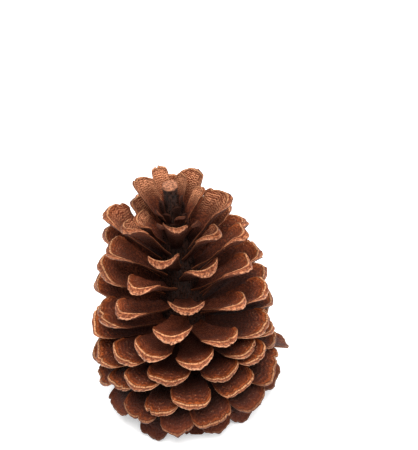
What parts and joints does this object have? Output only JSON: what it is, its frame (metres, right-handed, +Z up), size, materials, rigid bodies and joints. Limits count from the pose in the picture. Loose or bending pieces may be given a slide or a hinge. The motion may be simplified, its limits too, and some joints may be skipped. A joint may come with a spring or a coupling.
{
  "type": "pine cone",
  "caption": "Open pine cone: a woody axis with cupped scales spiralling up it, spread wide at mid height and drooping at the foot, standing upright on its lowest scales.",
  "frame": {"origin": "centre of the stalk scar, in the level plane that the cone stands on", "axes": "+Z up along the cone's axis towards its tip, -Y the side that the picture faces, +X to the right in the picture"},
  "size_m": [0.0632, 0.06, 0.0808],
  "materials": {
    "cone_wood": "dry, unvarnished, satin"
  },
  "bodies": {
    "root": {"cone": "cone_wood"}
  },
  "joints": []
}
